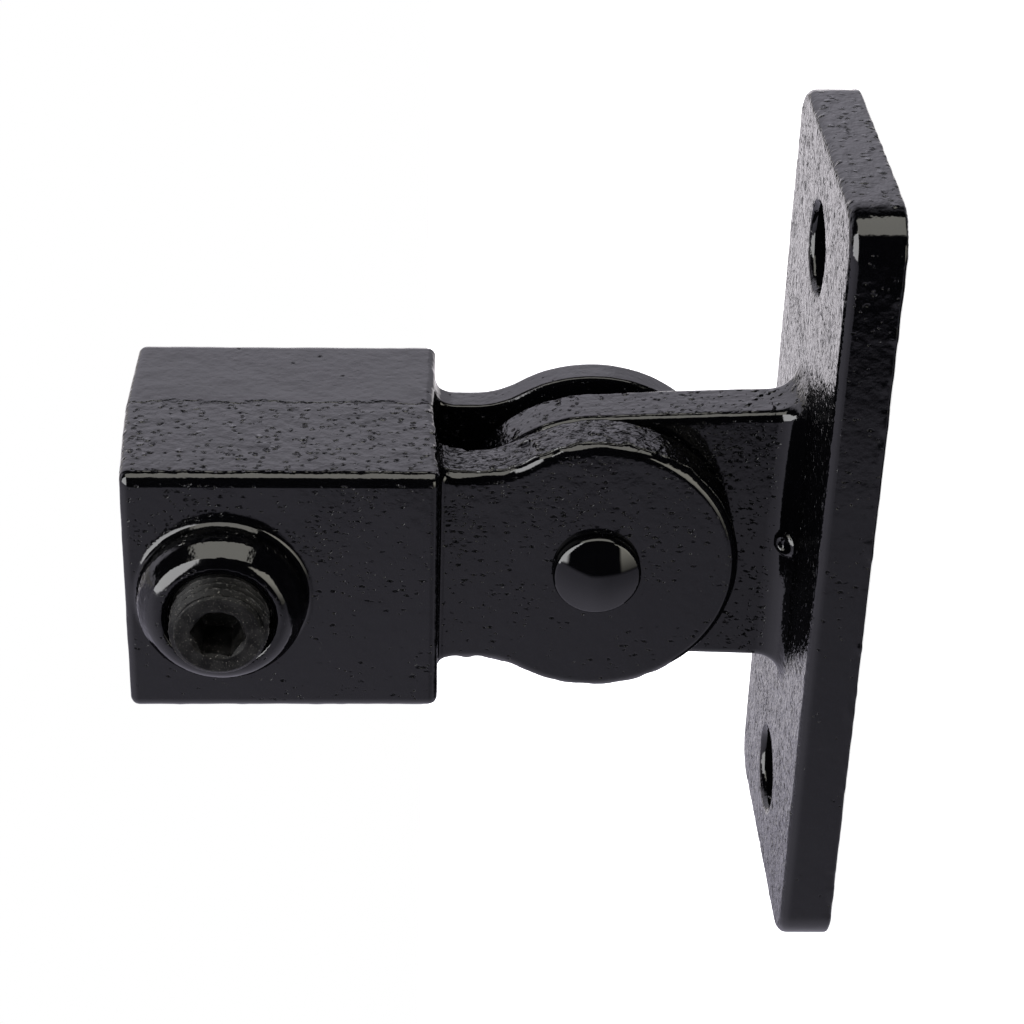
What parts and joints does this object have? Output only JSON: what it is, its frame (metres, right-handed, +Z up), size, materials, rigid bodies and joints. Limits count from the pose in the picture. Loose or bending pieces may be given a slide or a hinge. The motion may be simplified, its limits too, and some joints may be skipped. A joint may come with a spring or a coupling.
{
  "type": "swivel stanchion base",
  "caption": "Bolt-down flange whose tongue carries a pivoting square-tube socket; a set screw in the socket's boss clamps the tube.",
  "frame": {"origin": "centre of the flange's flat underside", "axes": "+Z up out of the mounting surface and along the upright socket; X along the line of the two bolt holes; Y along the pivot, with the set screw on the -Y side"},
  "size_m": [0.1152, 0.0512, 0.0991],
  "materials": {
    "flange_casting": "gloss black powder coat over rough cast iron",
    "socket_casting": "gloss black powder coat over rough cast iron",
    "rivet": "smooth high-gloss black coat",
    "set_screw": "satin black oxide"
  },
  "bodies": {
    "flange": {"base_flange": "flange_casting"},
    "fork": {"socket_fork": "socket_casting", "pivot_rivet": "rivet"},
    "screw": {"grub_screw": "set_screw"}
  },
  "joints": [
    {"name": "swivel", "type": "hinge", "parent": "flange", "child": "fork", "pos_m": [0, 0, 0.0352], "axis": [0, 1, 0], "range_deg": [-90, 90]},
    {"name": "set_screw_travel", "type": "slide", "parent": "fork", "child": "screw", "axis": [0, 1, 0], "range_m": [-0.004, 0.007]}
  ]
}
